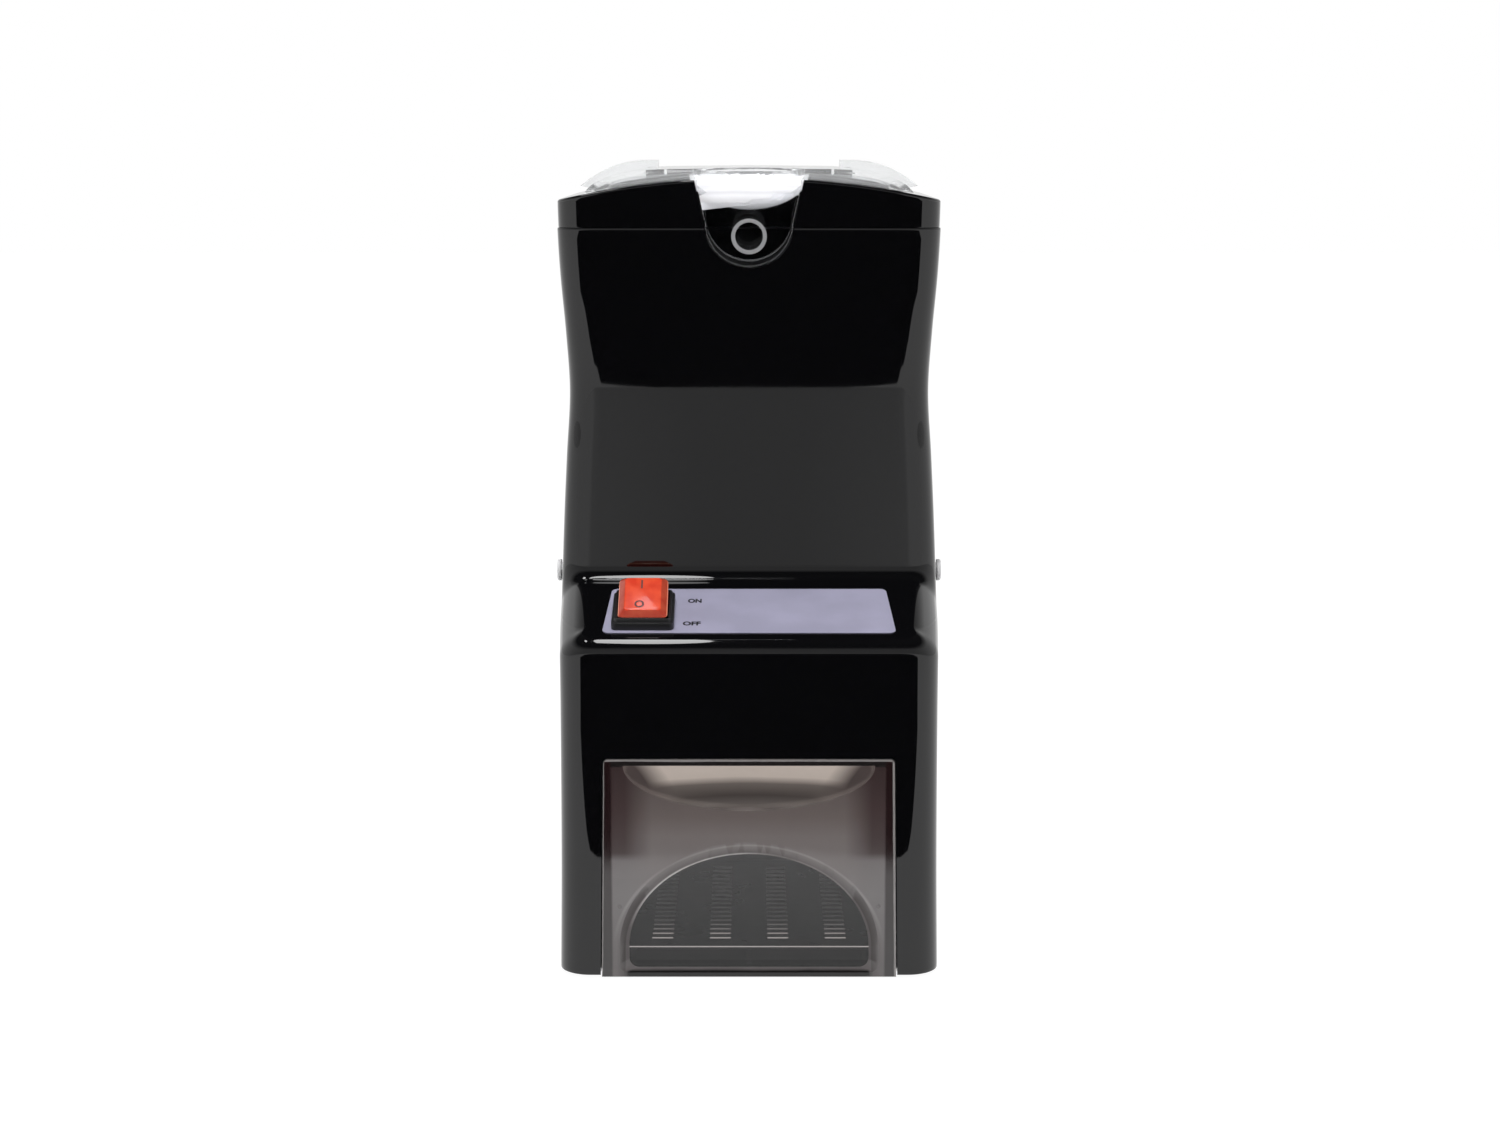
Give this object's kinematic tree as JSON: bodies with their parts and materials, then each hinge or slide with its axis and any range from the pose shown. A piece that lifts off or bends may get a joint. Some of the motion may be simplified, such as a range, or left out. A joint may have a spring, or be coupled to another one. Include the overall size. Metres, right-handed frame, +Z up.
{
  "type": "electric ice crusher",
  "caption": "Tall black countertop ice crusher: waisted moulded housing, clear hinged lid, sloping shelf with a lit rocker switch, smoke ice drawer, and a motor-driven rotor inside.",
  "frame": {"origin": "middle of the footprint on the table, under the centre of the bounding box", "axes": "+Z up, +X to the right seen from the front, +Y from the front to the back; the switch and drawer face -Y"},
  "size_m": [0.2068, 0.25, 0.4141],
  "materials": {
    "gloss_black": "high gloss, black",
    "clear_lid": "clear, glossy",
    "smoke_drawer": "translucent smoke grey, glossy",
    "grid_clear": "translucent",
    "label_grey": "satin lavender grey with dark print",
    "switch_black": "satin black",
    "rocker_orange": "translucent orange red, glossy",
    "white_abs": "natural white",
    "grey_abs": "mid grey moulded",
    "black_abs": "black moulded",
    "rubber": "matt",
    "steel": "ground stainless",
    "zinc_steel": "zinc plated",
    "chrome_pin": "polished",
    "bronze": "sintered bronze",
    "nylon": "natural nylon",
    "motor_paint": "dark enamel",
    "cast_alloy": "as cast"
  },
  "bodies": {
    "casing": {"main_housing": "gloss_black", "top_cap": "gloss_black", "base_plate": "black_abs", "feet": "rubber", "base_screws": "zinc_steel", "side_plugs": "black_abs", "rear_cover": "black_abs", "rear_cover_screws": "zinc_steel", "power_inlet": "black_abs", "inlet_pins": "chrome_pin", "label_plate": "label_grey", "switch_body": "switch_black", "switch_terminals": "zinc_steel", "rocker_pin": "zinc_steel", "hinge_pin": "chrome_pin", "lid_switch": "black_abs", "hopper": "grey_abs", "crushing_chamber": "grey_abs", "fixed_comb": "steel", "bush_gear_side": "bronze", "bush_far_side": "bronze", "ice_chute": "grey_abs", "gear_side_plate": "cast_alloy", "far_side_plate": "cast_alloy", "chamber_screws": "zinc_steel", "frame_screws": "zinc_steel", "idler_axle": "steel", "idler_clip": "zinc_steel", "motor_body": "motor_paint", "motor_end_bell": "cast_alloy", "motor_screws": "zinc_steel", "run_capacitor": "white_abs", "capacitor_clip": "zinc_steel", "drawer_bay": "grey_abs"},
    "lid": {"lid": "clear_lid"},
    "drawer": {"drawer": "smoke_drawer", "drip_grid": "grid_clear"},
    "rocker": {"rocker": "rocker_orange"},
    "rotor": {"rotor_shaft": "steel", "blade_spacers": "steel", "shaft_collar": "zinc_steel", "rotor_gear": "nylon", "crusher_blade_1": "steel", "crusher_blade_2": "steel", "crusher_blade_3": "steel", "crusher_blade_4": "steel", "crusher_blade_5": "steel", "crusher_blade_6": "steel"},
    "idler": {"idler_gear": "nylon"},
    "motor_rotor": {"motor_shaft": "steel", "motor_pinion": "steel", "cooling_fan": "nylon"},
    "lid_plunger": {"lid_switch_plunger": "white_abs"}
  },
  "joints": [
    {"name": "lid_hinge", "type": "hinge", "parent": "casing", "child": "lid", "pos_m": [0, 0.085, 0.4054], "axis": [-1, 0, 0], "range_deg": [0, 100]},
    {"name": "drawer_slide", "type": "slide", "parent": "casing", "child": "drawer", "axis": [0, -1, 0], "range_m": [0, 0.15]},
    {"name": "rocker_pivot", "type": "hinge", "parent": "casing", "child": "rocker", "pos_m": [-0.05415, -0.09535, 0.18695], "axis": [-1, 0, 0], "range_deg": [0, 28]},
    {"name": "rotor_spin", "type": "hinge", "parent": "casing", "child": "rotor", "pos_m": [0, -0.002, 0.245], "axis": [1, 0, 0], "continuous": true},
    {"name": "idler_spin", "type": "hinge", "parent": "casing", "child": "idler", "pos_m": [-0.065, 0.04182, 0.22091], "axis": [1, 0, 0], "continuous": true},
    {"name": "motor_spin", "type": "hinge", "parent": "casing", "child": "motor_rotor", "pos_m": [0, 0.069, 0.176], "axis": [1, 0, 0], "continuous": true},
    {"name": "plunger_slide", "type": "slide", "parent": "casing", "child": "lid_plunger", "axis": [0, 0, 1], "range_m": [0, 0.003]}
  ],
  "couplings": [
    {"joint": "idler_spin", "follows": "rotor_spin", "ratio": -2.5714},
    {"joint": "motor_spin", "follows": "rotor_spin", "ratio": 10.286},
    {"joint": "plunger_slide", "follows": "lid_hinge", "m_per_rad": 0.0017172}
  ]
}
